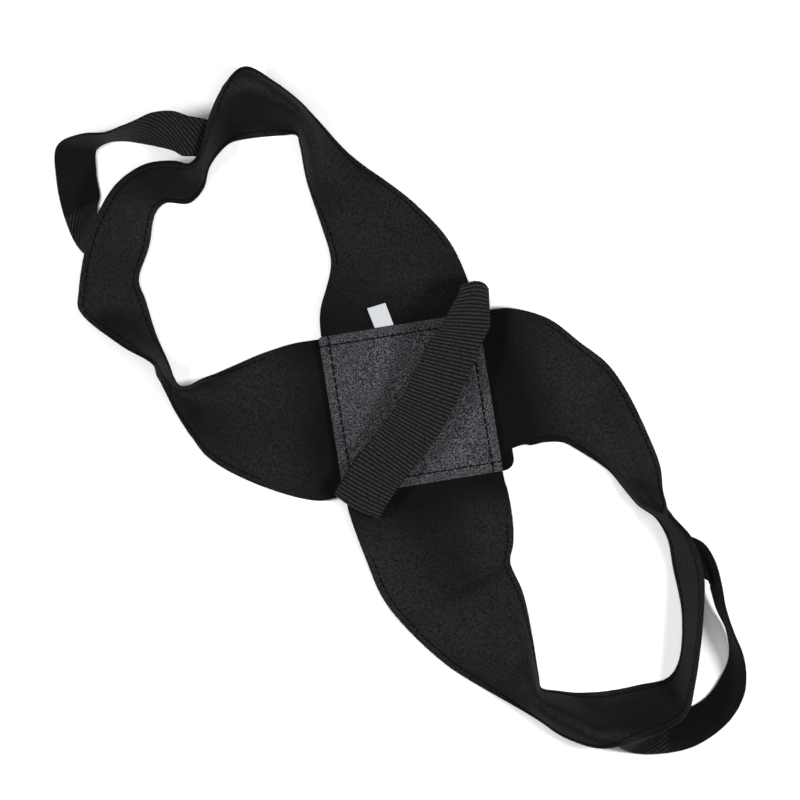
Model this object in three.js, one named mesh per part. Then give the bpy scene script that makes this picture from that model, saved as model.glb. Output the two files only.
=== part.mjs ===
// A cloth posture corrector lying flat: two shoulder loops whose broad arms cross under a square back
// patch, a ribbed elastic strap arching over the patch, and a webbing pull loop on each shoulder loop.
// Millimetres, +Z up, seen from above with the worn object's back towards the viewer.
import * as THREE from "three";

// How far each shoulder loop reaches from the middle of the patch.
const UPPER_REACH_LEFT = 207;
const UPPER_REACH_UP = 210;
const LOWER_REACH_RIGHT = 183;
const LOWER_REACH_DOWN = 214;

// The shoulder loops' padded cloth, and how high their narrow band stands where it is on edge.
const PANEL_THICKNESS = 2.2;
const BAND_RISE = 36;

// The square back patch, the backing behind it and the turn of both.
const PATCH_SIDE = 100.5;
const PATCH_TURN = 9.2;
const PATCH_THICKNESS = 1.4;
const PATCH_CORNER = 1.5;
const BACKING_THICKNESS = 1.4;
const BACKING_CORNER = 7;
const BACKING_SHIFT = 8;

// The elastic strap over the patch.
const STRAP_WIDTH = 32;
const STRAP_THICKNESS = 1.8;
const STRAP_ARCH = 16;

// The webbing of the two pull loops, and how far they stand out from the band.
const WEBBING_WIDTH = 25.4;
const WEBBING_THICKNESS = 1.6;
const PULL_REACH = 46;

// The size label.
const LABEL_WIDTH = 12;
const LABEL_LENGTH = 14;
const LABEL_THICKNESS = 0.6;
const LABEL_LEAN = 12;
const LABEL_ACROSS = -0.145;

// How finely the strips are cut along their length and across the webbing.
const STEPS_PER_ROW = 3;
const WEBBING_COLUMNS = 4;

// The air between two pieces that lie on each other, and beside a sewn end where the band is curved.
const CLEARANCE = 0.3;
const SEWN_GAP = 0.8;

// Heights in the stack under the patch, from the floor up: backing, side arms, long arms, patch.
const SIDE_ARM_LIFT = BACKING_THICKNESS + CLEARANCE;
const LONG_ARM_LIFT = SIDE_ARM_LIFT + PANEL_THICKNESS + CLEARANCE;
const PATCH_LIFT = LONG_ARM_LIFT + PANEL_THICKNESS + CLEARANCE;
const PATCH_TOP = PATCH_LIFT + PATCH_THICKNESS;

// Rows of a shoulder loop run from the end of its long arm to the end of its side arm. `hole` is the
// edge beside the loop's hole and `outer` the edge away from it, both [across, up]: as shares of the
// patch's side in its own turned square where `under` is true, else as shares of the loop's reach.
// `rim` is how much higher the outer edge is than the hole edge and `crest` how far the cloth bulges
// between them, both as shares of the band's rise; the bulge is highest at the share `at` of the
// width. `lift` is the height of the lowest edge as a share of the arm's height in the stack.
const UPPER_LEFT_ROWS = [
  { under: true, hole: [-0.48, 0.01], outer: [0.48, 0.01], rim: 0, crest: 0, at: 0.5, lift: 1 },
  { under: true, hole: [-0.48, 0.56], outer: [0.49, 0.56], rim: 0, crest: 0, at: 0.5, lift: 1 },
  { under: true, hole: [-0.46, 0.67], outer: [0.48, 0.67], rim: 0, crest: 0, at: 0.5, lift: 1 },
  { hole: [-0.24, 0.42], outer: [0.12, 0.48], rim: 0, crest: 0.06, at: 0.35, lift: 0.1 },
  { hole: [-0.27, 0.54], outer: [0.01, 0.6], rim: 0, crest: 0.14, at: 0.3, lift: 0 },
  { hole: [-0.31, 0.67], outer: [-0.18, 0.74], rim: 0.03, crest: 0.38, at: 0.35, lift: 0 },
  { hole: [-0.33, 0.77], outer: [-0.29, 0.85], rim: 0.12, crest: 0.55, at: 0.5, lift: 0 },
  { hole: [-0.34, 0.8], outer: [-0.34, 0.9], rim: 0.22, crest: 0.55, at: 0.6, lift: 0 },
  { hole: [-0.39, 0.8], outer: [-0.42, 0.96], rim: 0.3, crest: 0.45, at: 0.68, lift: 0 },
  { hole: [-0.49, 0.79], outer: [-0.5, 1], rim: 0.42, crest: 0.38, at: 0.74, lift: 0 },
  { hole: [-0.54, 0.78], outer: [-0.56, 0.95], rim: 0.68, crest: 0.14, at: 0.7, lift: 0 },
  { hole: [-0.57, 0.76], outer: [-0.6, 0.86], rim: 0.82, crest: 0.03, at: 0.6, lift: 0 },
  { hole: [-0.61, 0.71], outer: [-0.64, 0.73], rim: 0.97, crest: 0, at: 0.5, lift: 0 },
  { hole: [-0.63, 0.64], outer: [-0.67, 0.71], rim: 0.86, crest: 0, at: 0.5, lift: 0 },
  { hole: [-0.67, 0.6], outer: [-0.71, 0.72], rim: 0.74, crest: 0, at: 0.5, lift: 0 },
  { hole: [-0.74, 0.6], outer: [-0.8, 0.71], rim: 0.7, crest: 0, at: 0.5, lift: 0 },
  { hole: [-0.77, 0.57], outer: [-0.89, 0.65], rim: 0.58, crest: 0.03, at: 0.6, lift: 0 },
  { hole: [-0.79, 0.47], outer: [-0.97, 0.5], rim: 0.34, crest: 0.1, at: 0.6, lift: 0 },
  { hole: [-0.82, 0.37], outer: [-1, 0.34], rim: 0.26, crest: 0.12, at: 0.65, lift: 0 },
  { hole: [-0.8, 0.31], outer: [-1, 0.28], rim: 0.24, crest: 0.14, at: 0.7, lift: 0 },
  { hole: [-0.77, 0.21], outer: [-0.88, 0.18], rim: 0.7, crest: 0.08, at: 0.75, lift: 0 },
  { hole: [-0.73, 0.11], outer: [-0.77, 0.12], rim: 0.97, crest: 0, at: 0.5, lift: 0 },
  { hole: [-0.72, 0.08], outer: [-0.76, 0.08], rim: 0.76, crest: 0.14, at: 0.5, lift: 0 },
  { hole: [-0.7, 0.05], outer: [-0.74, 0.04], rim: 0.46, crest: 0.34, at: 0.36, lift: 0 },
  { hole: [-0.67, 0.05], outer: [-0.71, -0.02], rim: 0.16, crest: 0.42, at: 0.26, lift: 0 },
  { hole: [-0.63, 0.07], outer: [-0.66, -0.1], rim: 0.04, crest: 0.34, at: 0.26, lift: 0 },
  { hole: [-0.58, 0.09], outer: [-0.61, -0.16], rim: 0, crest: 0.24, at: 0.3, lift: 0 },
  { hole: [-0.45, 0.15], outer: [-0.46, -0.24], rim: 0, crest: 0.1, at: 0.4, lift: 0 },
  { under: true, hole: [-0.66, 0.49], outer: [-0.67, -0.5], rim: 0, crest: 0, at: 0.5, lift: 0.6 },
  { under: true, hole: [-0.53, 0.49], outer: [-0.54, -0.5], rim: 0, crest: 0, at: 0.5, lift: 1 },
  { under: true, hole: [-0.4, 0.49], outer: [-0.4, -0.49], rim: 0, crest: 0, at: 0.5, lift: 1 },
  { under: true, hole: [-0.01, 0.49], outer: [-0.01, -0.49], rim: 0, crest: 0, at: 0.5, lift: 1 },
];

const LOWER_RIGHT_ROWS = [
  { under: true, hole: [0.49, -0.01], outer: [-0.49, -0.01], rim: 0, crest: 0, at: 0.5, lift: 1 },
  { under: true, hole: [0.5, -0.55], outer: [-0.49, -0.56], rim: 0, crest: 0, at: 0.5, lift: 1 },
  { under: true, hole: [0.51, -0.63], outer: [-0.48, -0.65], rim: 0, crest: 0, at: 0.5, lift: 1 },
  { hole: [0.35, -0.35], outer: [-0.15, -0.46], rim: 0, crest: 0.07, at: 0.4, lift: 0.15 },
  { hole: [0.35, -0.41], outer: [-0.1, -0.56], rim: 0, crest: 0.04, at: 0.4, lift: 0 },
  { hole: [0.34, -0.46], outer: [-0.03, -0.64], rim: 0, crest: 0.06, at: 0.3, lift: 0 },
  { hole: [0.38, -0.55], outer: [0.12, -0.76], rim: 0, crest: 0.16, at: 0.35, lift: 0 },
  { hole: [0.41, -0.68], outer: [0.27, -0.84], rim: 0.03, crest: 0.34, at: 0.35, lift: 0 },
  { hole: [0.43, -0.79], outer: [0.38, -0.89], rim: 0.12, crest: 0.54, at: 0.42, lift: 0 },
  { hole: [0.44, -0.83], outer: [0.44, -0.92], rim: 0.16, crest: 0.58, at: 0.45, lift: 0 },
  { hole: [0.5, -0.84], outer: [0.53, -0.97], rim: 0.22, crest: 0.56, at: 0.5, lift: 0 },
  { hole: [0.64, -0.84], outer: [0.66, -1], rim: 0.46, crest: 0.3, at: 0.74, lift: 0 },
  { hole: [0.78, -0.82], outer: [0.8, -0.97], rim: 0.64, crest: 0.05, at: 0.7, lift: 0 },
  { hole: [0.88, -0.8], outer: [0.93, -0.91], rim: 0.8, crest: 0, at: 0.5, lift: 0 },
  { hole: [0.92, -0.75], outer: [0.96, -0.82], rim: 0.9, crest: 0, at: 0.5, lift: 0 },
  { hole: [0.93, -0.61], outer: [0.99, -0.61], rim: 0.96, crest: 0, at: 0.5, lift: 0 },
  { hole: [0.9, -0.48], outer: [0.99, -0.48], rim: 0.92, crest: 0, at: 0.5, lift: 0 },
  { hole: [0.88, -0.39], outer: [0.95, -0.39], rim: 0.95, crest: 0, at: 0.5, lift: 0 },
  { hole: [0.85, -0.34], outer: [0.88, -0.32], rim: 0.97, crest: 0, at: 0.5, lift: 0 },
  { hole: [0.83, -0.32], outer: [0.87, -0.29], rim: 0.5, crest: 0.42, at: 0.4, lift: 0 },
  { hole: [0.78, -0.29], outer: [0.86, -0.26], rim: 0.2, crest: 0.5, at: 0.22, lift: 0 },
  { hole: [0.73, -0.24], outer: [0.85, -0.18], rim: 0.04, crest: 0.38, at: 0.2, lift: 0 },
  { hole: [0.68, -0.19], outer: [0.81, -0.09], rim: 0, crest: 0.28, at: 0.26, lift: 0 },
  { hole: [0.57, -0.13], outer: [0.73, 0.05], rim: 0, crest: 0.18, at: 0.35, lift: 0 },
  { hole: [0.52, -0.11], outer: [0.67, 0.12], rim: 0, crest: 0.16, at: 0.38, lift: 0.1 },
  { hole: [0.46, -0.11], outer: [0.58, 0.18], rim: 0, crest: 0.13, at: 0.4, lift: 0.6 },
  { hole: [0.41, -0.12], outer: [0.47, 0.25], rim: 0, crest: 0.1, at: 0.5, lift: 1.8 },
  { under: true, hole: [0.66, -0.36], outer: [0.71, 0.49], rim: 0, crest: 0.06, at: 0.5, lift: 3.2 },
  { under: true, hole: [0.54, -0.38], outer: [0.57, 0.5], rim: 0, crest: 0, at: 0.5, lift: 1.1 },
  { under: true, hole: [0.46, -0.4], outer: [0.46, 0.49], rim: 0, crest: 0, at: 0.5, lift: 1 },
  { under: true, hole: [0.01, -0.42], outer: [0.01, 0.49], rim: 0, crest: 0, at: 0.5, lift: 1 },
];

// Rows of a piece of narrow webbing run along it. `at` is the middle of its width, `across` the plan
// direction of its width in degrees and `lean` how far that width tilts up from level.
// The strap's `at` is in shares of the patch's side, in its turned square, its `lift` is the height of
// its lowest edge above the patch as a share of the strap's arch, and `width` the share of its width
// that is left where its end is gathered.
const STRAP_ROWS = [
  { at: [-0.25, -0.35], across: -33, lean: 0, lift: 0, width: 1 },
  { at: [-0.4, -0.53], across: -28, lean: 0, lift: 0, width: 1 },
  { at: [-0.44, -0.58], across: -28, lean: 0, lift: 0.14, width: 1 },
  { at: [-0.41, -0.54], across: -28, lean: 0, lift: 0.32, width: 1 },
  { at: [-0.3, -0.42], across: -29, lean: 0, lift: 0.42, width: 1 },
  { at: [-0.18, -0.3], across: -36, lean: 0, lift: 0.5, width: 1 },
  { at: [-0.04, -0.17], across: -31, lean: 0, lift: 0.66, width: 1 },
  { at: [0.09, -0.03], across: -22, lean: 0, lift: 0.86, width: 1 },
  { at: [0.17, 0.09], across: -18, lean: 0, lift: 0.97, width: 1 },
  { at: [0.26, 0.22], across: -14, lean: -4, lift: 1, width: 1 },
  { at: [0.34, 0.34], across: -10, lean: -12, lift: 0.9, width: 1 },
  { at: [0.42, 0.43], across: -4, lean: -20, lift: 0.76, width: 0.96 },
  { at: [0.46, 0.52], across: -2, lean: -28, lift: 0.64, width: 0.88 },
  { at: [0.5, 0.6], across: -2, lean: -34, lift: 0.56, width: 0.76 },
  { at: [0.53, 0.68], across: -4, lean: -36, lift: 0.38, width: 0.68 },
  { at: [0.51, 0.63], across: -4, lean: -28, lift: 0.16, width: 0.68 },
  { at: [0.46, 0.53], across: -4, lean: -12, lift: 0.04, width: 0.76 },
  { at: [0.41, 0.42], across: -6, lean: 0, lift: 0, width: 0.86 },
];

// A pull loop's rows run from its first end on the band to its last. `along` is the share of the way
// between the two ends and `out` the distance from that line as a share of the pull reach. `lift` is
// the height of the lowest edge as a share of the band's rise. The ends are on the band's outer face:
// `row` is the shoulder loop's row, `toward` is 1 where the webbing's width runs with that loop's rows
// and -1 where it runs against them, and `sewn` is the shares of the band's width where the end starts
// and leaves the face.
const PULL_LEFT = {
  start: { row: 11.5, toward: 1, sewn: [0.4, 0.8] },
  end: { row: 17, toward: -1, sewn: [0.7, 0.95] },
  rows: [
    { along: 0.07, out: 0.2, across: -98, lean: 0, lift: 0.86 },
    { along: 0.11, out: 0.35, across: -87, lean: -6, lift: 0.8 },
    { along: 0.2, out: 0.53, across: -81, lean: -34, lift: 0.62 },
    { along: 0.3, out: 0.66, across: -74, lean: -57, lift: 0.42 },
    { along: 0.38, out: 0.77, across: -72, lean: -70, lift: 0.26 },
    { along: 0.48, out: 0.88, across: -70, lean: -78, lift: 0.16 },
    { along: 0.59, out: 1, across: -38, lean: -60, lift: 0.08 },
    { along: 0.7, out: 1.04, across: -6, lean: -10, lift: 0.04 },
    { along: 0.82, out: 0.76, across: 6, lean: -4, lift: 0 },
    { along: 0.92, out: 0.42, across: 26, lean: -6, lift: 0 },
    { along: 0.99, out: 0.17, across: 58, lean: 4, lift: 0 },
  ],
};

const PULL_RIGHT = {
  start: { row: 16.4, toward: -1, sewn: [0.4, 0.8] },
  end: { row: 11.7, toward: 1, sewn: [0.6, 0.95] },
  rows: [
    { along: 0.02, out: 0.15, across: -80, lean: -14, lift: 0.66 },
    { along: 0.06, out: 0.27, across: -100, lean: -55, lift: 0.4 },
    { along: 0.13, out: 0.4, across: -135, lean: -74, lift: 0.2 },
    { along: 0.22, out: 0.55, across: -160, lean: -80, lift: 0.1 },
    { along: 0.31, out: 0.75, across: -176, lean: -84, lift: 0.04 },
    { along: 0.43, out: 0.96, across: -184, lean: -72, lift: 0 },
    { along: 0.54, out: 1.02, across: -184, lean: -54, lift: 0 },
    { along: 0.65, out: 1, across: -184, lean: -31, lift: 0 },
    { along: 0.76, out: 0.88, across: -206, lean: -20, lift: 0 },
    { along: 0.87, out: 0.62, across: -240, lean: -12, lift: 0 },
    { along: 0.93, out: 0.36, across: -276, lean: -10, lift: 0 },
    { along: 0.98, out: 0.18, across: -316, lean: -6, lift: 0 },
  ],
};

const SQUARE_UP = THREE.MathUtils.degToRad(PATCH_TURN);

// A point given in shares of the patch's side in its turned square, in plan.
function onPatch([across, up]) {
  const x = across * PATCH_SIDE;
  const y = up * PATCH_SIDE;
  return new THREE.Vector3(
    x * Math.cos(SQUARE_UP) - y * Math.sin(SQUARE_UP),
    x * Math.sin(SQUARE_UP) + y * Math.cos(SQUARE_UP),
    0,
  );
}

// A smooth curve through values at whole numbers that never leaves the range of its neighbours.
function steady(values) {
  const last = values.length - 1;
  const slope = values.map((value, i) => {
    if (i === 0 || i === last) return 0;
    const before = value - values[i - 1];
    const after = values[i + 1] - value;
    return before * after > 0 ? (2 * before * after) / (before + after) : 0;
  });
  return (s) => {
    const i = Math.min(Math.floor(s), last - 1);
    const t = s - i;
    const cubic = t * t * (3 - 2 * t);
    const start = t * (1 - t) * (1 - t) * slope[i];
    const end = t * t * (t - 1) * slope[i + 1];
    return values[i] + (values[i + 1] - values[i]) * cubic + start + end;
  };
}

// A smooth curve through points, asked by row number.
function through(points) {
  const curve = new THREE.CatmullRomCurve3(points, false, "centripetal");
  return (s) => curve.getPoint(s / (points.length - 1));
}

// The unit normal of a strip's middle surface at one of its grid points.
function gridNormal(grid, i, j) {
  const next = grid[Math.min(i + 1, grid.length - 1)][j];
  const previous = grid[Math.max(i - 1, 0)][j];
  const right = grid[i][Math.min(j + 1, grid[i].length - 1)];
  const left = grid[i][Math.max(j - 1, 0)];
  const along = new THREE.Vector3().subVectors(next, previous);
  const across = new THREE.Vector3().subVectors(right, left);
  return across.cross(along).normalize();
}

// A strip of cloth: its middle surface and that surface's normals.
function strip(grid, thickness) {
  const normals = grid.map((section, i) => section.map((_, j) => gridNormal(grid, i, j)));
  return { grid, normals, thickness };
}

// Moves each section of a strip until its lowest edge is at its lift.
function settle({ grid, normals, thickness }, lifts) {
  grid.forEach((section, i) => {
    const lowest = section.map((point, j) => point.z - (Math.abs(normals[i][j].z) * thickness) / 2);
    const drop = lifts[i] - Math.min(...lowest);
    section.forEach((point) => (point.z += drop));
  });
}

// The closed solid of a strip: upper face, lower face, two long edges and two ends.
function stripGeometry({ grid, normals, thickness }) {
  const rows = grid.length;
  const columns = grid[0].length;
  const positions = [];
  for (const side of [1, -1]) {
    grid.forEach((section, i) =>
      section.forEach((point, j) => {
        const vertex = point.clone().addScaledVector(normals[i][j], (side * thickness) / 2);
        positions.push(vertex.x, vertex.y, vertex.z);
      }),
    );
  }
  const upper = (i, j) => i * columns + j;
  const lower = (i, j) => rows * columns + i * columns + j;
  const triangles = [];
  const quad = (a, b, c, d) => triangles.push(a, b, c, a, c, d);
  for (let i = 0; i < rows - 1; i++) {
    for (let j = 0; j < columns - 1; j++) {
      quad(upper(i, j), upper(i, j + 1), upper(i + 1, j + 1), upper(i + 1, j));
      quad(lower(i, j), lower(i + 1, j), lower(i + 1, j + 1), lower(i, j + 1));
    }
    quad(upper(i, 0), upper(i + 1, 0), lower(i + 1, 0), lower(i, 0));
    const edge = columns - 1;
    quad(upper(i, edge), lower(i, edge), lower(i + 1, edge), upper(i + 1, edge));
  }
  for (let j = 0; j < columns - 1; j++) {
    const end = rows - 1;
    quad(upper(0, j), lower(0, j), lower(0, j + 1), upper(0, j + 1));
    quad(upper(end, j), upper(end, j + 1), lower(end, j + 1), lower(end, j));
  }
  const geometry = new THREE.BufferGeometry();
  geometry.setAttribute("position", new THREE.Float32BufferAttribute(positions, 3));
  geometry.setIndex(triangles);
  geometry.computeVertexNormals();
  return geometry;
}

// A shoulder loop as a strip, from its table of rows.
function shoulderLoop({ rows, reach, longArmRows, stepsPerRow, columns }) {
  const place = (row, edge) =>
    row.under ? onPatch(row[edge]) : new THREE.Vector3(row[edge][0] * reach[0], row[edge][1] * reach[1], 0);
  const hole = through(rows.map((row) => place(row, "hole")));
  const outer = through(rows.map((row) => place(row, "outer")));
  const rim = steady(rows.map((row) => row.rim * BAND_RISE));
  const crest = steady(rows.map((row) => row.crest * BAND_RISE));
  const crestAt = steady(rows.map((row) => row.at));
  const armLift = (i) => (i < longArmRows ? LONG_ARM_LIFT : SIDE_ARM_LIFT);
  const lift = steady(rows.map((row, i) => row.lift * armLift(i)));
  const sections = (rows.length - 1) * stepsPerRow;
  const grid = [];
  const lifts = [];
  for (let i = 0; i <= sections; i++) {
    const s = i / stepsPerRow;
    const start = hole(s);
    const end = outer(s);
    end.z += rim(s);
    const sharpness = Math.log(0.5) / Math.log(crestAt(s));
    const section = [];
    for (let j = 0; j <= columns; j++) {
      const t = j / columns;
      const point = new THREE.Vector3().lerpVectors(start, end, t);
      point.z += crest(s) * Math.sin(Math.PI * t ** sharpness);
      section.push(point);
    }
    grid.push(section);
    lifts.push(lift(s));
  }
  const loop = strip(grid, PANEL_THICKNESS);
  settle(loop, lifts);
  return loop;
}

// A straight section across webbing, with its lowest point at a height.
function straightSection({ middle, across, lean, width, lowest, columns }) {
  const turn = THREE.MathUtils.degToRad(across);
  const tilt = THREE.MathUtils.degToRad(lean);
  const direction = new THREE.Vector3(
    Math.cos(turn) * Math.cos(tilt),
    Math.sin(turn) * Math.cos(tilt),
    Math.sin(tilt),
  );
  const centre = middle.clone().setZ(lowest + (Math.abs(direction.z) * width) / 2);
  const section = [];
  for (let j = 0; j <= columns; j++) {
    section.push(centre.clone().addScaledVector(direction, (j / columns - 0.5) * width));
  }
  return section;
}

// Webbing through its sections, no lower than what it lies on.
function webbing(sections, thickness, floor) {
  const columns = sections[0].map((_, j) => through(sections.map((section) => section[j])));
  const steps = (sections.length - 1) * STEPS_PER_ROW;
  const grid = [];
  for (let i = 0; i <= steps; i++) {
    const section = columns.map((column) => column(i / STEPS_PER_ROW));
    section.forEach((point) => (point.z = Math.max(point.z, floor + thickness / 2)));
    grid.push(section);
  }
  return strip(grid, thickness);
}

// A flat square with round corners, its lowest face at a height.
function flatSquare({ side, corner, thickness, lift }) {
  const half = side / 2;
  const inner = half - corner;
  const outline = new THREE.Shape();
  outline.absarc(inner, inner, corner, 0, Math.PI / 2);
  outline.absarc(-inner, inner, corner, Math.PI / 2, Math.PI);
  outline.absarc(-inner, -inner, corner, Math.PI, 1.5 * Math.PI);
  outline.absarc(inner, -inner, corner, 1.5 * Math.PI, 2 * Math.PI);
  const geometry = new THREE.ExtrudeGeometry(outline, {
    depth: thickness,
    bevelEnabled: false,
    curveSegments: 6,
  });
  return geometry.translate(0, 0, lift);
}

const cloth = { metalness: 0, roughness: 0.95 };
const panelCloth = new THREE.MeshStandardMaterial({ color: "#26241f", ...cloth });
const patchCloth = new THREE.MeshStandardMaterial({ color: "#4b4b4e", ...cloth });
const elastic = new THREE.MeshStandardMaterial({ color: "#232220", ...cloth });
const webbingCloth = new THREE.MeshStandardMaterial({ color: "#1c1c1b", ...cloth });
const labelCloth = new THREE.MeshStandardMaterial({ color: "#ececea", ...cloth });

function piece(name, geometry, material) {
  const mesh = new THREE.Mesh(geometry, material);
  mesh.name = name;
  return mesh;
}

const upperLeft = shoulderLoop({
  rows: UPPER_LEFT_ROWS,
  reach: [UPPER_REACH_LEFT, UPPER_REACH_UP],
  longArmRows: 5,
  stepsPerRow: STEPS_PER_ROW,
  columns: 7,
});

const lowerRight = shoulderLoop({
  rows: LOWER_RIGHT_ROWS,
  reach: [LOWER_REACH_RIGHT, LOWER_REACH_DOWN],
  longArmRows: 5,
  stepsPerRow: STEPS_PER_ROW,
  columns: 7,
});

function backStrap() {
  const floor = PATCH_TOP + CLEARANCE;
  const sections = STRAP_ROWS.map(({ at, across, lean, lift, width }) =>
    straightSection({
      middle: onPatch(at),
      across,
      lean,
      width: width * STRAP_WIDTH,
      lowest: floor + STRAP_THICKNESS / 2 + lift * STRAP_ARCH,
      columns: 4,
    }),
  );
  return webbing(sections, STRAP_THICKNESS, floor);
}

// The middle of a webbing that lies on the outer face of a band, at a row and a share of its width.
function onOuterFace(band, row, share) {
  const down = row * STEPS_PER_ROW;
  const right = share * (band.grid[0].length - 1);
  const i = Math.floor(down);
  const j = Math.floor(right);
  const blend = (table) =>
    new THREE.Vector3()
      .lerpVectors(table[i][j], table[i][j + 1], right - j)
      .lerp(new THREE.Vector3().lerpVectors(table[i + 1][j], table[i + 1][j + 1], right - j), down - i);
  const away = PANEL_THICKNESS / 2 + SEWN_GAP + WEBBING_THICKNESS / 2;
  return blend(band.grid).addScaledVector(blend(band.normals).normalize(), -away);
}

// The section of a sewn end: it follows the band's outer face along the band.
function sewnSection(band, { row, toward }, share) {
  const nearby = 0.25;
  const ahead = onOuterFace(band, row + nearby, share);
  const rowLength = ahead.distanceTo(onOuterFace(band, row, share)) / nearby;
  const halfWidth = (toward * WEBBING_WIDTH) / 2 / rowLength;
  const section = [];
  for (let j = 0; j <= WEBBING_COLUMNS; j++) {
    section.push(onOuterFace(band, row + ((2 * j) / WEBBING_COLUMNS - 1) * halfWidth, share));
  }
  return section;
}

function pullLoop(band, { start, end, rows }) {
  const from = onOuterFace(band, start.row, start.sewn[1]).setZ(0);
  const to = onOuterFace(band, end.row, end.sewn[1]).setZ(0);
  const chord = new THREE.Vector3().subVectors(to, from);
  const away = new THREE.Vector3(chord.y, -chord.x, 0).normalize();
  if (away.dot(from) < 0) away.negate();
  const free = rows.map(({ along, out, across, lean, lift }) =>
    straightSection({
      middle: from.clone().addScaledVector(chord, along).addScaledVector(away, out * PULL_REACH),
      across,
      lean,
      width: WEBBING_WIDTH,
      lowest: WEBBING_THICKNESS / 2 + lift * BAND_RISE,
      columns: WEBBING_COLUMNS,
    }),
  );
  const first = start.sewn.map((share) => sewnSection(band, start, share));
  const last = end.sewn.map((share) => sewnSection(band, end, share)).reverse();
  return webbing([...first, ...free, ...last], WEBBING_THICKNESS, 0);
}

// The label's outline: its long sides lean from the square's, and its lower end follows the patch.
function labelGeometry() {
  const lean = THREE.MathUtils.degToRad(LABEL_LEAN);
  const up = new THREE.Vector2(-Math.sin(lean), Math.cos(lean)).multiplyScalar(LABEL_LENGTH);
  const across = new THREE.Vector2(Math.cos(lean), Math.sin(lean)).multiplyScalar(LABEL_WIDTH);
  const left = new THREE.Vector2(LABEL_ACROSS * PATCH_SIDE, PATCH_SIDE / 2 + CLEARANCE);
  const right = new THREE.Vector2(left.x + LABEL_WIDTH / Math.cos(lean), left.y);
  const topLeft = left.clone().add(up);
  const outline = new THREE.Shape([left, right, topLeft.clone().add(across), topLeft]);
  const geometry = new THREE.ExtrudeGeometry(outline, { depth: LABEL_THICKNESS, bevelEnabled: false });
  return geometry.translate(0, 0, LONG_ARM_LIFT + PANEL_THICKNESS + CLEARANCE);
}

const square = new THREE.Group();
square.rotation.z = SQUARE_UP;
square.add(
  piece(
    "back_patch",
    flatSquare({ side: PATCH_SIDE, corner: PATCH_CORNER, thickness: PATCH_THICKNESS, lift: PATCH_LIFT }),
    patchCloth,
  ),
);
const backing = piece(
  "backing_patch",
  flatSquare({ side: PATCH_SIDE, corner: BACKING_CORNER, thickness: BACKING_THICKNESS, lift: 0 }),
  panelCloth,
);
backing.position.x = BACKING_SHIFT;
square.add(backing);
square.add(piece("size_label", labelGeometry(), labelCloth));

const corrector = new THREE.Group();
corrector.add(square);
corrector.add(piece("upper_left_loop", stripGeometry(upperLeft), panelCloth));
corrector.add(piece("lower_right_loop", stripGeometry(lowerRight), panelCloth));
corrector.add(piece("back_strap", stripGeometry(backStrap()), elastic));
corrector.add(piece("pull_loop_left", stripGeometry(pullLoop(upperLeft, PULL_LEFT)), webbingCloth));
corrector.add(piece("pull_loop_right", stripGeometry(pullLoop(lowerRight, PULL_RIGHT)), webbingCloth));

// The origin is under the middle of the whole object, on the surface that it lies on.
const box = new THREE.Box3().setFromObject(corrector);
const middle = box.getCenter(new THREE.Vector3());
corrector.position.set(-middle.x, -middle.y, -box.min.z);

export default corrector;
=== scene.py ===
"""A black cloth posture corrector lying flat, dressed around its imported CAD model.

The cloth pieces repeat the sections of the part's source and are cut finer, with hems, creases and
stitches. Lengths are in millimetres from the middle of the back patch and are turned to metres when a
mesh is made.
"""
import math
from collections import namedtuple

import bpy
import numpy as np
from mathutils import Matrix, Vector, noise


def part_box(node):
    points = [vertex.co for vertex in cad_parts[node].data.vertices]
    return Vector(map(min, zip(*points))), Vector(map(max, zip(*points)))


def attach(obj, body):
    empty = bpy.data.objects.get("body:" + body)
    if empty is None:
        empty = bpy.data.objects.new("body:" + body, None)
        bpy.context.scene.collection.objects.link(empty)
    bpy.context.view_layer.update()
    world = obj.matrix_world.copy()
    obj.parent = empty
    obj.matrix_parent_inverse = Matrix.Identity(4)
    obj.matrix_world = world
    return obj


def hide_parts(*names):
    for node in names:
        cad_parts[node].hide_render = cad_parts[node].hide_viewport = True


bl_info = {
    "name": "Posture corrector",
    "version": (1, 0, 0),
    "blender": (4, 5, 0),
    "location": "View3D > Sidebar > Corrector",
    "description": "Builds the cloth, strap, webbing and stitches of a posture corrector",
    "category": "Add Mesh",
}

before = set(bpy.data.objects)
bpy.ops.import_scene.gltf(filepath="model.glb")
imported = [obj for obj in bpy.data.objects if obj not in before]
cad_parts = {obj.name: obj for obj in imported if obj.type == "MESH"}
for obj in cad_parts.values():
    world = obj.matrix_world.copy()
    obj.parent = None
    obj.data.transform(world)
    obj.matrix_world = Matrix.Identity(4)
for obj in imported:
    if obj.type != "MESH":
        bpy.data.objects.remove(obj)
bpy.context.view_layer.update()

MM = 0.001
BODY = "root"
PATCH_LOW, PATCH_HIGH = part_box("back_patch")
PATCH_MIDDLE = (PATCH_LOW + PATCH_HIGH) / 2
PATCH_TOP = PATCH_HIGH.z / MM

# The part's own sizes, in millimetres and degrees.
PATCH_SIDE = 100.5
PATCH_TURN = math.radians(9.2)
UPPER_REACH = (207, 210)
LOWER_REACH = (183, 214)
BAND_RISE = 36
SIDE_ARM_LIFT = 1.7
LONG_ARM_LIFT = 4.2
LONG_ARM_ROWS = 5
CLEARANCE = 0.3
SEWN_GAP = 0.8
PULL_REACH = 46
STRAP_ARCH = 16


def table(row_type, rows):
    """Rows of a table with its columns named."""
    return [row_type(*row) for row in rows]


# Sections of the shoulder loops. The columns are the same as in the part's source: whether they are
# given in the patch's square, edge beside the hole, outer edge, rise of the outer edge, bulge between
# them, its place, and lift of the lowest edge.
LoopRow = namedtuple("LoopRow", "under hole outer rim crest at lift")

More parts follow.
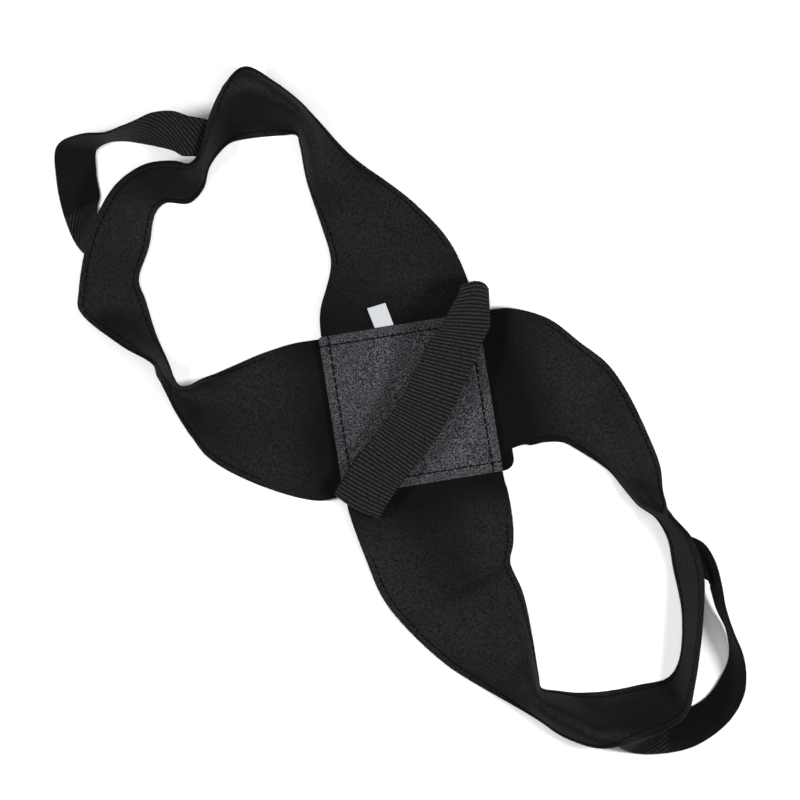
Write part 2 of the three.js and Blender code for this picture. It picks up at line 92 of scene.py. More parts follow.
UPPER_LEFT_ROWS = table(LoopRow, [
    (True, (-0.48, 0.01), (0.48, 0.01), 0, 0, 0.5, 1),
    (True, (-0.48, 0.56), (0.49, 0.56), 0, 0, 0.5, 1),
    (True, (-0.46, 0.67), (0.48, 0.67), 0, 0, 0.5, 1),
    (False, (-0.24, 0.42), (0.12, 0.48), 0, 0.06, 0.35, 0.1),
    (False, (-0.27, 0.54), (0.01, 0.6), 0, 0.14, 0.3, 0),
    (False, (-0.31, 0.67), (-0.18, 0.74), 0.03, 0.38, 0.35, 0),
    (False, (-0.33, 0.77), (-0.29, 0.85), 0.12, 0.55, 0.5, 0),
    (False, (-0.34, 0.8), (-0.34, 0.9), 0.22, 0.55, 0.6, 0),
    (False, (-0.39, 0.8), (-0.42, 0.96), 0.3, 0.45, 0.68, 0),
    (False, (-0.49, 0.79), (-0.5, 1), 0.42, 0.38, 0.74, 0),
    (False, (-0.54, 0.78), (-0.56, 0.95), 0.68, 0.14, 0.7, 0),
    (False, (-0.57, 0.76), (-0.6, 0.86), 0.82, 0.03, 0.6, 0),
    (False, (-0.61, 0.71), (-0.64, 0.73), 0.97, 0, 0.5, 0),
    (False, (-0.63, 0.64), (-0.67, 0.71), 0.86, 0, 0.5, 0),
    (False, (-0.67, 0.6), (-0.71, 0.72), 0.74, 0, 0.5, 0),
    (False, (-0.74, 0.6), (-0.8, 0.71), 0.7, 0, 0.5, 0),
    (False, (-0.77, 0.57), (-0.89, 0.65), 0.58, 0.03, 0.6, 0),
    (False, (-0.79, 0.47), (-0.97, 0.5), 0.34, 0.1, 0.6, 0),
    (False, (-0.82, 0.37), (-1, 0.34), 0.26, 0.12, 0.65, 0),
    (False, (-0.8, 0.31), (-1, 0.28), 0.24, 0.14, 0.7, 0),
    (False, (-0.77, 0.21), (-0.88, 0.18), 0.7, 0.08, 0.75, 0),
    (False, (-0.73, 0.11), (-0.77, 0.12), 0.97, 0, 0.5, 0),
    (False, (-0.72, 0.08), (-0.76, 0.08), 0.76, 0.14, 0.5, 0),
    (False, (-0.7, 0.05), (-0.74, 0.04), 0.46, 0.34, 0.36, 0),
    (False, (-0.67, 0.05), (-0.71, -0.02), 0.16, 0.42, 0.26, 0),
    (False, (-0.63, 0.07), (-0.66, -0.1), 0.04, 0.34, 0.26, 0),
    (False, (-0.58, 0.09), (-0.61, -0.16), 0, 0.24, 0.3, 0),
    (False, (-0.45, 0.15), (-0.46, -0.24), 0, 0.1, 0.4, 0),
    (True, (-0.66, 0.49), (-0.67, -0.5), 0, 0, 0.5, 0.6),
    (True, (-0.53, 0.49), (-0.54, -0.5), 0, 0, 0.5, 1),
    (True, (-0.4, 0.49), (-0.4, -0.49), 0, 0, 0.5, 1),
    (True, (-0.01, 0.49), (-0.01, -0.49), 0, 0, 0.5, 1),
])

LOWER_RIGHT_ROWS = table(LoopRow, [
    (True, (0.49, -0.01), (-0.49, -0.01), 0, 0, 0.5, 1),
    (True, (0.5, -0.55), (-0.49, -0.56), 0, 0, 0.5, 1),
    (True, (0.51, -0.63), (-0.48, -0.65), 0, 0, 0.5, 1),
    (False, (0.35, -0.35), (-0.15, -0.46), 0, 0.07, 0.4, 0.15),
    (False, (0.35, -0.41), (-0.1, -0.56), 0, 0.04, 0.4, 0),
    (False, (0.34, -0.46), (-0.03, -0.64), 0, 0.06, 0.3, 0),
    (False, (0.38, -0.55), (0.12, -0.76), 0, 0.16, 0.35, 0),
    (False, (0.41, -0.68), (0.27, -0.84), 0.03, 0.34, 0.35, 0),
    (False, (0.43, -0.79), (0.38, -0.89), 0.12, 0.54, 0.42, 0),
    (False, (0.44, -0.83), (0.44, -0.92), 0.16, 0.58, 0.45, 0),
    (False, (0.5, -0.84), (0.53, -0.97), 0.22, 0.56, 0.5, 0),
    (False, (0.64, -0.84), (0.66, -1), 0.46, 0.3, 0.74, 0),
    (False, (0.78, -0.82), (0.8, -0.97), 0.64, 0.05, 0.7, 0),
    (False, (0.88, -0.8), (0.93, -0.91), 0.8, 0, 0.5, 0),
    (False, (0.92, -0.75), (0.96, -0.82), 0.9, 0, 0.5, 0),
    (False, (0.93, -0.61), (0.99, -0.61), 0.96, 0, 0.5, 0),
    (False, (0.9, -0.48), (0.99, -0.48), 0.92, 0, 0.5, 0),
    (False, (0.88, -0.39), (0.95, -0.39), 0.95, 0, 0.5, 0),
    (False, (0.85, -0.34), (0.88, -0.32), 0.97, 0, 0.5, 0),
    (False, (0.83, -0.32), (0.87, -0.29), 0.5, 0.42, 0.4, 0),
    (False, (0.78, -0.29), (0.86, -0.26), 0.2, 0.5, 0.22, 0),
    (False, (0.73, -0.24), (0.85, -0.18), 0.04, 0.38, 0.2, 0),
    (False, (0.68, -0.19), (0.81, -0.09), 0, 0.28, 0.26, 0),
    (False, (0.57, -0.13), (0.73, 0.05), 0, 0.18, 0.35, 0),
    (False, (0.52, -0.11), (0.67, 0.12), 0, 0.16, 0.38, 0.1),
    (False, (0.46, -0.11), (0.58, 0.18), 0, 0.13, 0.4, 0.6),
    (False, (0.41, -0.12), (0.47, 0.25), 0, 0.1, 0.5, 1.8),
    (True, (0.66, -0.36), (0.71, 0.49), 0, 0.06, 0.5, 3.2),
    (True, (0.54, -0.38), (0.57, 0.5), 0, 0, 0.5, 1.1),
    (True, (0.46, -0.4), (0.46, 0.49), 0, 0, 0.5, 1),
    (True, (0.01, -0.42), (0.01, 0.49), 0, 0, 0.5, 1),
])

# Sections of the back strap, in shares of the patch's side, and of its arch and width.
StrapRow = namedtuple("StrapRow", "at across lean lift width")

STRAP_ROWS = table(StrapRow, [
    ((-0.25, -0.35), -33, 0, 0, 1),
    ((-0.4, -0.53), -28, 0, 0, 1),
    ((-0.44, -0.58), -28, 0, 0.14, 1),
    ((-0.41, -0.54), -28, 0, 0.32, 1),
    ((-0.3, -0.42), -29, 0, 0.42, 1),
    ((-0.18, -0.3), -36, 0, 0.5, 1),
    ((-0.04, -0.17), -31, 0, 0.66, 1),
    ((0.09, -0.03), -22, 0, 0.86, 1),
    ((0.17, 0.09), -18, 0, 0.97, 1),
    ((0.26, 0.22), -14, -4, 1, 1),
    ((0.34, 0.34), -10, -12, 0.9, 1),
    ((0.42, 0.43), -4, -20, 0.76, 0.96),
    ((0.46, 0.52), -2, -28, 0.64, 0.88),
    ((0.5, 0.6), -2, -34, 0.56, 0.76),
    ((0.53, 0.68), -4, -36, 0.38, 0.68),
    ((0.51, 0.63), -4, -28, 0.16, 0.68),
    ((0.46, 0.53), -4, -12, 0.04, 0.76),
    ((0.41, 0.42), -6, 0, 0, 0.86),
])

# How far the strap's edges are drawn in at its folds, by row, so that each fold is a round lobe.
STRAP_BOWS = {1: 1, 2: 2, 3: 1, 12: 1, 13: 2.5, 14: 4.5, 15: 3.5, 16: 2}

# Sections of a pull loop between its two sewn ends, in shares of the way, the reach and the rise.
PullRow = namedtuple("PullRow", "along out across lean lift")
SewnEnd = namedtuple("SewnEnd", "row toward sewn")

PULL_LEFT_START = SewnEnd(11.5, 1, (0.4, 0.8))
PULL_LEFT_END = SewnEnd(17, -1, (0.7, 0.95))
PULL_LEFT_ROWS = table(PullRow, [
    (0.07, 0.2, -98, 0, 0.86),
    (0.11, 0.35, -87, -6, 0.8),
    (0.2, 0.53, -81, -34, 0.62),
    (0.3, 0.66, -74, -57, 0.42),
    (0.38, 0.77, -72, -70, 0.26),
    (0.48, 0.88, -70, -78, 0.16),
    (0.59, 1, -38, -60, 0.08),
    (0.7, 1.04, -6, -10, 0.04),
    (0.82, 0.76, 6, -4, 0),
    (0.92, 0.42, 26, -6, 0),
    (0.99, 0.17, 58, 4, 0),
])

PULL_RIGHT_START = SewnEnd(16.4, -1, (0.4, 0.8))
PULL_RIGHT_END = SewnEnd(11.7, 1, (0.6, 0.95))
PULL_RIGHT_ROWS = table(PullRow, [
    (0.02, 0.15, -80, -14, 0.66),
    (0.06, 0.27, -100, -55, 0.4),
    (0.13, 0.4, -135, -74, 0.2),
    (0.22, 0.55, -160, -80, 0.1),
    (0.31, 0.75, -176, -84, 0.04),
    (0.43, 0.96, -184, -72, 0),
    (0.54, 1.02, -184, -54, 0),
    (0.65, 1, -184, -31, 0),
    (0.76, 0.88, -206, -20, 0),
    (0.87, 0.62, -240, -12, 0),
    (0.93, 0.36, -276, -10, 0),
    (0.98, 0.18, -316, -6, 0),
])

# Creases of the broad arms: a line in the cloth, the width that it spreads over and its height, where
# a valley is below nought.
Crease = namedtuple("Crease", "start end width height")

UPPER_LEFT_CREASES = table(Crease, [
    ((-56, 70), (-38, 112), 9, 1.4),
    ((-30, 66), (8, 78), 10, -1.2),
    ((2, 120), (28, 84), 12, 1.0),
    ((-20, 150), (-44, 164), 6, -1.0),
    ((-140, 6), (-112, -4), 6, 0.9),
    ((-128, -22), (-96, -34), 9, -0.8),
])
LOWER_RIGHT_CREASES = table(Crease, [
    ((64, -97), (22, -118), 7, -1.8),
    ((58, -108), (24, -127), 7, 1.3),
    ((80, -132), (58, -142), 6, 1.0),
    ((64, 40), (57, -14), 5, 2.2),
    ((134, -50), (158, -58), 3, 0.9),
    ((130, -57), (156, -66), 3, -0.9),
    ((100, 20), (128, -22), 12, 0.8),
])

# How finely the sections are cut: steps from one row to the next, and columns across webbing.
LOOP_STEPS = 10
WEBBING_COLUMNS = 4

# Soft waves of the cloth: their length, then each wave's height and how much finer it is than the first.
WAVE_LENGTH = 34
WAVES = ((1.6, 1), (0.6, 2.7), (0.16, 6.5))

# Lightness of the brushed pile, as shares of the way from its dark to its light colour: its middle, its
# soft patches and their size, the painted shade beside the sewn square, where the arms slope down, and
# how wide that reaches, and the painted shade on slopes that face along y, away from the side lamps.
PILE_MIDDLE = 0.46
PILE_PATCHES = 0.3
PILE_PATCH_SIZE = 48
# Painted shade beside the sewn square, and how far it reaches.
PAINTED_SHADE_BY_PATCH = 0.46
PAINTED_SHADE_BY_PATCH_REACH = 28
# Painted shade on slopes that face along y, away from the side lamps.
PAINTED_SLOPE_SHADE = 1.3

# Hems and seams: their grooves, how much fuller a hem is, how deep stitches lie, and half of the
# thinnest wall.
HEM_GROOVE = 0.5
HEM_GROOVE_WIDTH = 0.9
HEM_PADDING = 0.4
HEM_STITCH_DEPTH = 0.21
SEAM_GROOVE = 0.55
SEAM_GROOVE_WIDTH = 1.2
SEAM_STITCH_DEPTH = 0.2
THINNEST_HALF = 0.06

# The two squares: their corners' radius, how far the back one is moved, and how far the front one dips.
FRONT_CORNER = 1.5
BACK_CORNER = 7.0
BACK_SHIFT = 8.0
FRONT_WAVINESS = 0.7

# The label: its left end in shares of the patch's side, its angles in degrees, and how far it starts
# below the patch's top and rises again.
LABEL_WIDTH = 12
LABEL_LENGTH = 14
LABEL_THICKNESS = 0.6
LABEL_AT = -0.145
LABEL_LEAN = 12
LABEL_TWIST = 8
LABEL_DROP = 1.1
LABEL_RISE = 0.9

# The studio, in metres and watts. The floor lies just below the hems.
FLOOR_REACH = 4
FLOOR_LOW = -0.0004
CAMERA_PLACE = (PATCH_MIDDLE.x - 6.7 * MM, PATCH_MIDDLE.y + 2.65 * MM, 6.0)
CAMERA_LENS = 432
Softbox = namedtuple("Softbox", "name place size power")
SOFTBOXES = table(Softbox, [
    ("softbox_left", (-0.9, 0.1, 1.05), 0.3, 14),
    ("softbox_right", (0.9, -0.1, 1.05), 0.3, 17),
    ("softbox_above", (0.0, 0.4, 7.0), 5.0, 240),
])


def length_property(name, description, value):
    """A length that the sidebar shows, from millimetres."""
    return bpy.props.FloatProperty(name=name, description=description, default=value * MM, unit="LENGTH")


class ClothSizes(bpy.types.PropertyGroup):
    """Sizes of the cloth, its hems and its stitches."""

    panel_thickness: length_property("Panel thickness", "Wall of the padded cloth", 2.2)
    patch_thickness: length_property("Patch thickness", "Wall of the square patches", 1.4)
    hem_width: length_property("Hem width", "From an edge to its stitch line", 4.2)
    patch_seam: length_property("Patch seam", "From the patch's edge to its stitches", 6)
    stitch_length: length_property("Stitch length", "Length of one stitch", 3.4)
    stitch_pitch: length_property("Stitch pitch", "From one stitch to the next", 4.4)
    thread: length_property("Thread", "Thickness of the sewing thread", 0.9)


class WebbingSizes(bpy.types.PropertyGroup):
    """Sizes of the strap and of the pull loops' webbing."""

    strap_width: length_property("Strap width", "Width of the back strap", 32)
    strap_thickness: length_property("Strap thickness", "Wall of the elastic", 1.8)
    webbing_width: length_property("Webbing width", "Width of the pull loops", 25.4)
    webbing_thickness: length_property("Webbing thickness", "Wall of the webbing", 1.6)
    rib_pitch: length_property("Rib pitch", "From one cross rib to the next", 2.4)


def colour_property(name, description, value):
    """A colour that the sidebar shows, from an sRGB hex value."""
    return bpy.props.FloatVectorProperty(
        name=name, description=description, default=linear(value), subtype="COLOR", min=0, max=1
    )


def linear(value):
    """An sRGB hex value as a linear colour."""
    channels = (int(value[i : i + 2], 16) / 255 for i in (1, 3, 5))
    return tuple(c / 12.92 if c <= 0.04045 else ((c + 0.055) / 1.055) ** 2.4 for c in channels)


class ClothColours(bpy.types.PropertyGroup):
    """Colours of the cloths."""

    panel: colour_property("Panel", "The black knit of the shoulder loops", "#070707")
    panel_worn: colour_property("Panel, lighter", "Where the knit's pile is laid over", "#262422")
    patch: colour_property("Patch", "The brushed loop cloth of the patch", "#0e0e10")
    patch_fleck: colour_property("Patch fleck", "The light fibre ends of the patch", "#5c5c61")
    elastic: colour_property("Elastic", "The ribbed elastic's rib", "#2c2c2b")
    elastic_groove: colour_property("Elastic groove", "Between the ribs", "#050505")
    webbing: colour_property("Webbing", "The pull loops' webbing", "#252524")
    thread: colour_property("Thread", "The sewing thread", "#050505")
    label: colour_property("Label", "The woven label", "#b8babc")


def sizes():
    """The cloth's and the webbing's sizes, as the sidebar holds them."""
    return bpy.context.scene.corrector_cloth, bpy.context.scene.corrector_webbing


def colours():
    """The cloths' colours, as the sidebar holds them."""
    return bpy.context.scene.corrector_colours


def steady(values):
    """A smooth curve through values at whole numbers that never leaves its neighbours' range."""
    last = len(values) - 1
    slopes = [0.0] * len(values)
    for i in range(1, last):
        before, after = values[i] - values[i - 1], values[i + 1] - values[i]
        slopes[i] = 2 * before * after / (before + after) if before * after > 0 else 0.0

    def value(s):
        i = min(int(s), last - 1)
        t = s - i
        rise = values[i + 1] - values[i]
        ends = t * (1 - t) ** 2 * slopes[i] + t * t * (t - 1) * slopes[i + 1]
        return values[i] + rise * t * t * (3 - 2 * t) + ends

    return value


def through(points):
    """A centripetal Catmull-Rom curve through points, asked by row number."""
    points = [np.asarray(p, float) for p in points]
    points = [2 * points[0] - points[1], *points, 2 * points[-1] - points[-2]]
    last = len(points) - 4

    def value(s):
        i = min(int(s), last)
        t = s - i
        p0, p1, p2, p3 = points[i : i + 4]
        d0, d1, d2 = (max(np.linalg.norm(b - a), 1e-9) ** 0.5 for a, b in ((p0, p1), (p1, p2), (p2, p3)))
        start = ((p1 - p0) / d0 - (p2 - p0) / (d0 + d1) + (p2 - p1) / d1) * d1
        end = ((p2 - p1) / d1 - (p3 - p1) / (d1 + d2) + (p3 - p2) / d2) * d1
        turn = 2 * (p1 - p2) + start + end
        bend = 3 * (p2 - p1) - 2 * start - end
        return p1 + t * (start + t * (bend + t * turn))

    return value


def on_patch(place):
    """A place in shares of the patch's side in its turned square."""
    x, y = place[0] * PATCH_SIDE, place[1] * PATCH_SIDE
    c, s = math.cos(PATCH_TURN), math.sin(PATCH_TURN)
    return np.array((x * c - y * s, x * s + y * c, 0.0))


def grid_normals(grid):
    """Unit normals of a grid of points, rows along the cloth and columns across it."""
    normals = np.cross(np.gradient(grid, axis=1), np.gradient(grid, axis=0))
    return normals / np.maximum(np.linalg.norm(normals, axis=2, keepdims=True), 1e-9)


def crease_height(point, creases):
    """How far the creases lift the cloth at a place."""
    height = 0.0
    for crease in creases:
        start, end = Vector(crease.start), Vector(crease.end)
        way = end - start
        share = (Vector(point[:2]) - start).dot(way) / way.length_squared
        inside = min(max(share, 0.0), 1.0)
        distance = (Vector(point[:2]) - start - way * inside).length
        height += crease.height * math.exp(-((distance / crease.width) ** 2) * 1.6)
    return height


def undulation(point, side):
    """The cloth's soft waves, a few centimetres long."""
    place = Vector((point[0], point[1], side)) / WAVE_LENGTH
    return sum(height * noise.noise(place * finer) for height, finer in WAVES)


class Strip:
    """A strip of cloth: the points of its middle surface, their normals and their distances from the
    two long edges, all in millimetres. It also says how free each section is of the sewn square, and
    how much of it shows ribs."""

    def __init__(self, grid, thickness):
        self.grid = grid
        self.normals = grid_normals(grid)
        self.thickness = thickness
        widths = np.linalg.norm(np.diff(grid, axis=1), axis=2)
        self.from_left = np.concatenate([np.zeros((len(grid), 1)), widths.cumsum(axis=1)], axis=1)
        self.width = self.from_left[:, -1:]
        self.edge = np.minimum(self.from_left, self.width - self.from_left)
        lengths = np.linalg.norm(np.diff(grid, axis=0), axis=2).mean(axis=1)
        self.length = np.concatenate([[0.0], lengths.cumsum()])
        self.ribbed = np.ones(len(grid))
        self.freedom = np.ones((len(grid), 1))

    def show_ribs(self, first, last):
        """Shows the ribbed face up to a share of the length and from another on, else the smooth one."""
        share = self.length / self.length[-1]
        self.ribbed = np.clip(np.maximum(first - share, share - last) / 0.02, 0, 1)

    def settle(self, lifts):
        """Moves each section until its lowest edge is at its lift."""
        half = abs(self.normals[:, :, 2]) * self.thickness / 2
        lowest = (self.grid[:, :, 2] - half).min(axis=1)
        self.grid[:, :, 2] += (np.asarray(lifts) - lowest)[:, None]

    def flat_size(self):
        """Its greatest width and its length laid flat, in metres."""
        return float(self.width.max()) * MM, float(self.length[-1]) * MM

    def area(self):
        """Its area laid flat, in square metres."""
        middle_widths = (self.width[1:, 0] + self.width[:-1, 0]) / 2
        return float((middle_widths * np.diff(self.length)).sum()) * MM * MM

    def at(self, i, wanted):
        """The point and the normal of a section at a distance from its first edge."""
        row = self.from_left[i]
        j = int(np.clip(np.searchsorted(row, wanted) - 1, 0, len(row) - 2))
        t = (wanted - row[j]) / max(row[j + 1] - row[j], 1e-9)
        point = self.grid[i, j] * (1 - t) + self.grid[i, j + 1] * t
        normal = self.normals[i, j] * (1 - t) + self.normals[i, j + 1] * t
        return point, normal

    def line(self, distance, side):
        """The points of a stitch line sunk in one face, at a distance from the first edge, or from the
        last where the distance is below nought."""
        points = []
        for i, row in enumerate(self.from_left):
            point, normal = self.at(i, distance if distance >= 0 else row[-1] + distance)
            points.append(point + normal * side * (self.thickness / 2 - HEM_STITCH_DEPTH))
        return np.array(points)


def cut_section(point_at, hem):
    """Measures a section and cuts it at set distances, close at its round edges and its hem."""
    points = np.array([point_at(t) for t in np.linspace(0, 1, 81)])
    run = np.concatenate([[0.0], np.linalg.norm(np.diff(points, axis=0), axis=1).cumsum()])
    near = np.array([0, 0.12, 0.4, 0.9, 1.7, hem - 1.4, hem - 0.7, hem, hem + 0.7, hem + 1.4])
    near = near * min(1.0, 0.4 * run[-1] / near[-1])
    inner = np.linspace(near[-1], run[-1] - near[-1], 19)[1:-1]
    wanted = np.concatenate([near, inner, run[-1] - near[::-1]])
    return np.column_stack([np.interp(wanted, run, points[:, k]) for k in range(3)])


def shoulder_loop(rows, reach, creases, thickness, hem):
    """A shoulder loop as a strip, with its creases and soft waves."""

    def place(row, share):
        if row.under:
            return on_patch(share)
        return np.array((share[0] * reach[0], share[1] * reach[1], 0.0))

    hole = through([place(row, row.hole) for row in rows])
    outer = through([place(row, row.outer) for row in rows])
    rim = steady([row.rim * BAND_RISE for row in rows])
    crest = steady([row.crest * BAND_RISE for row in rows])
    crest_at = steady([row.at for row in rows])
    lift_of = [LONG_ARM_LIFT if i < LONG_ARM_ROWS else SIDE_ARM_LIFT for i in range(len(rows))]
    lift = steady([row.lift * height for row, height in zip(rows, lift_of)])
    free = steady([0.0 if row.under else 1.0 for row in rows])
    grid, lifts, freedom = [], [], []
    for i in range((len(rows) - 1) * LOOP_STEPS + 1):
        s = i / LOOP_STEPS
        start, end = hole(s), outer(s)
        end[2] += rim(s)
        sharpness = math.log(0.5) / math.log(crest_at(s))

        def point_at(t):
            point = start + (end - start) * t
            point[2] += crest(s) * math.sin(math.pi * t**sharpness)
            height = undulation(point, reach[0]) + crease_height(point, creases)
            point[2] += free(s) * height * max(math.sin(math.pi * t), 0.0) ** 0.5
            return point

        grid.append(cut_section(point_at, hem))
        lifts.append(lift(s))
        freedom.append(free(s))
    loop = Strip(np.array(grid), thickness)
    loop.settle(lifts)
    loop.freedom = np.array(freedom)[:, None]
    return loop


def straight_section(middle, across, lean, width, lowest):
    """A straight section across webbing, with its lowest point at a height."""
    turn, tilt = math.radians(across), math.radians(lean)
    direction = np.array((math.cos(turn) * math.cos(tilt), math.sin(turn) * math.cos(tilt), math.sin(tilt)))
    centre = np.array((middle[0], middle[1], lowest + abs(direction[2]) * width / 2))
    shares = [j / WEBBING_COLUMNS - 0.5 for j in range(WEBBING_COLUMNS + 1)]
    return [centre + direction * share * width for share in shares]


def webbing_strip(sections, thickness, floor, steps):
    """Webbing through its sections, cut finer along and across, no lower than what it lies on."""
    curves = [through([section[j] for section in sections]) for j in range(len(sections[0]))]
    near = [0, 0.01, 0.03, 0.07]
    shares = [*near, *np.linspace(0.14, 0.86, 9), *(1 - s for s in reversed(near))]
    grid = []
    for i in range((len(sections) - 1) * steps + 1):
        across = through([curve(i / steps) for curve in curves])
        section = [across(share * (len(curves) - 1)) for share in shares]
        for point in section:
            point[2] = max(point[2], floor + thickness / 2)
        grid.append(section)
    return Strip(np.array(grid), thickness)


def outer_face_point(loop, row, share, away):
    """A point off a loop's outer face, at a row of its table and a share of its width."""
    i = min(int(row * LOOP_STEPS), len(loop.grid) - 2)
    down = row * LOOP_STEPS - i
    first, first_normal = loop.at(i, share * loop.from_left[i, -1])
    second, second_normal = loop.at(i + 1, share * loop.from_left[i + 1, -1])
    point = (1 - down) * first + down * second
    normal = (1 - down) * first_normal + down * second_normal
    return point - away * normal / np.linalg.norm(normal)


def sewn_section(loop, end, share, width, away):
    """The section of a sewn end, which follows the loop's outer face."""
    nearby = 0.25
    here = outer_face_point(loop, end.row, share, away)
    row_length = np.linalg.norm(outer_face_point(loop, end.row + nearby, share, away) - here) / nearby
    half = end.toward * width / 2 / row_length
    rows = [end.row + (2 * j / WEBBING_COLUMNS - 1) * half for j in range(WEBBING_COLUMNS + 1)]
    return [outer_face_point(loop, row, share, away) for row in rows]


def pull_strip(loop, start, rows, end, width, thickness):
    """A pull loop's webbing from its first sewn end to its last."""
    away = loop.thickness / 2 + SEWN_GAP + thickness / 2
    first = outer_face_point(loop, start.row, start.sewn[1], away) * (1, 1, 0)
    chord = outer_face_point(loop, end.row, end.sewn[1], away) * (1, 1, 0) - first
    out = np.array((chord[1], -chord[0], 0.0)) / np.linalg.norm(chord)
    out *= 1 if out @ first > 0 else -1
    free = [
        straight_section(
            first + chord * row.along + out * row.out * PULL_REACH,
            row.across,
            row.lean,
            width,
            thickness / 2 + row.lift * BAND_RISE,
        )
        for row in rows
    ]
    sewn = [sewn_section(loop, start, share, width, away) for share in start.sewn]
    last = [sewn_section(loop, end, share, width, away) for share in reversed(end.sewn)]
    return webbing_strip([*sewn, *free, *last], thickness, 0.0, steps=9)


def strap_strip(width, thickness):
    """The back strap, arching over the patch with its ends folded under."""
    floor = PATCH_TOP + CLEARANCE
    sections = []
    for i, row in enumerate(STRAP_ROWS):
        lowest = floor + thickness / 2 + row.lift * STRAP_ARCH
        place = on_patch(row.at)
        section = straight_section(place, row.across, row.lean, row.width * width, lowest)
        outward = place / np.linalg.norm(place)
        for j, point in enumerate(section):
            from_middle = 2 * j / WEBBING_COLUMNS - 1
            section[j] = point - outward * STRAP_BOWS.get(i, 0.0) * from_middle**2
        sections.append(section)
    return webbing_strip(sections, thickness, floor, steps=8)


def wall_profile(strip, hem=0.0):
    """Half the wall's thickness at each grid point, with round edges. A hem is fuller between its edge
    and the groove of its stitches."""
    radius = strip.thickness / 2
    inward = np.clip(strip.edge / radius, 0, 1)
    half = np.maximum(radius * np.sqrt(1 - (1 - inward) ** 2), THINNEST_HALF)
    if hem:
        groove = -HEM_GROOVE * np.exp(-(((strip.edge - hem) / HEM_GROOVE_WIDTH) ** 2))
        fuller = HEM_PADDING * np.exp(-(((strip.edge - hem * 0.45) / (hem * 0.4)) ** 2))
        half = half + strip.freedom * (groove + fuller) * inward
    return half


def pile_and_painted_shade(point, normal):
    """How light the knit looks: soft random patches of the brushed pile, with painted shade beside the sewn
    square, where the arms slope down off it, and painted shade on slopes that face along y, away from the
    side lamps."""
    c, s = math.cos(PATCH_TURN), math.sin(PATCH_TURN)
    across, along = abs(point[0] * c + point[1] * s), abs(point[1] * c - point[0] * s)
    beyond = max(max(across, along) - PATCH_SIDE / 2, 0.0)
    # Painted shade beside the sewn square, where the arms slope down off its raised middle.
    shade_by_patch = PAINTED_SHADE_BY_PATCH * math.exp(-((beyond / PAINTED_SHADE_BY_PATCH_REACH) ** 2))
    # Painted shade on slopes that face along y, away from the lamps at the left and right.
    slope_shade = PAINTED_SLOPE_SHADE * normal[1] ** 2
    patches = PILE_PATCHES * noise.noise(Vector(point) / PILE_PATCH_SIZE)
    return max(PILE_MIDDLE + patches - shade_by_patch - slope_shade, 0.0)


def strip_mesh(name, strip, half):
    """The closed mesh of a strip in metres, with its UV map along and across the cloth and with the
    attributes that say how light the knit is, from its pile's soft patches and painted shade, and where its
    ribs show."""
    rows, columns = strip.grid.shape[:2]
    offset = strip.normals * half[:, :, None]
    points = np.concatenate([(strip.grid + offset).reshape(-1, 3), (strip.grid - offset).reshape(-1, 3)])
    points = in_metres(points)
    count = rows * columns
    faces = []
    for i in range(rows - 1):
        for j in range(columns - 1):
            a = i * columns + j
            d = a + columns
            faces.append((a, a + 1, d + 1, d))
            faces.append((count + a, count + d, count + d + 1, count + a + 1))
        left, left_next = i * columns, (i + 1) * columns
        right, right_next = left + columns - 1, left_next + columns - 1
        faces.append((left, left_next, count + left_next, count + left))
        faces.append((right, count + right, count + right_next, right_next))
    for j in range(columns - 1):
        end = (rows - 1) * columns + j
        faces.append((j, count + j, count + j + 1, j + 1))
        faces.append((end, end + 1, count + end + 1, count + end))
    mesh = bpy.data.meshes.new(name)
    mesh.from_pydata(points.tolist(), [], faces)
    across = (strip.from_left - strip.width / 2).ravel()
    along = np.repeat(strip.length, columns)
    where = np.column_stack([np.tile(across, 2), np.tile(along, 2)]) * MM
    uv = mesh.uv_layers.new(name="Cloth")
    corners = np.empty(len(mesh.loops), dtype=np.int32)
    mesh.loops.foreach_get("vertex_index", corners)
    uv.data.foreach_set("uv", where[corners].astype(np.float32).ravel())
    # The pile attribute holds both the pile's soft patches and painted shade.
    pile = [pile_and_painted_shade(*pair) for pair in zip(strip.grid.reshape(-1, 3), strip.normals.reshape(-1, 3))]
    for key, values in (("pile", pile), ("ribbed", np.repeat(strip.ribbed, columns))):
        attribute = mesh.attributes.new(key, "FLOAT", "POINT")
        attribute.data.foreach_set("value", np.tile(values, 2).astype(np.float32))
    mesh.shade_smooth()
    return mesh


def add_node(tree, kind, inputs=(), **settings):
    """Adds a node, sets it and its inputs, and links the inputs that are given as sockets."""
    node = tree.nodes.new(kind)
    for key, value in settings.items():
        setattr(node, key, value)
    for key, value in dict(inputs).items():
        if isinstance(value, bpy.types.NodeSocket):
            tree.links.new(value, node.inputs[key])
        else:
            node.inputs[key].default_value = value
    return node


def start_material(name, roughness, sheen):
    """A cloth material with its shader, and the tree that its patterns go into."""
    material = bpy.data.materials.new(name)
    material.use_nodes = True
    tree = material.node_tree
    shader = tree.nodes["Principled BSDF"]
    shader.inputs["Roughness"].default_value = roughness
    shader.inputs["Sheen Weight"].default_value = sheen
    shader.inputs["Sheen Roughness"].default_value = 0.6
    shader.inputs["Specular IOR Level"].default_value = 0.06
    return material, tree, shader


def dress_shader(tree, shader, share, dark, light, height, depth):
    """Puts a pattern on the shader, as a share of the way from dark to light and as a relief."""
    tones = {"Factor": share, 6: rgba(dark), 7: rgba(light)}
    mixed = add_node(tree, "ShaderNodeMix", tones, data_type="RGBA")
    raised = {"Height": height, "Distance": depth * MM, "Strength": 1}
    relief = add_node(tree, "ShaderNodeBump", raised)
    tree.links.new(mixed.outputs[2], shader.inputs["Base Color"])
    tree.links.new(relief.outputs["Normal"], shader.inputs["Normal"])


def rgba(colour):
    """A linear colour as a socket takes it."""
    return (*colour, 1.0)


def wave_scale(pitch):
    """The scale of a wave texture with bands a pitch in millimetres apart: each takes pi / 10."""
    return math.pi / 10 / (pitch * MM)


def noise_scale(size):
    """The scale of a noise texture with lumps of about a size in millimetres."""
    return 0.5 / (size * MM)


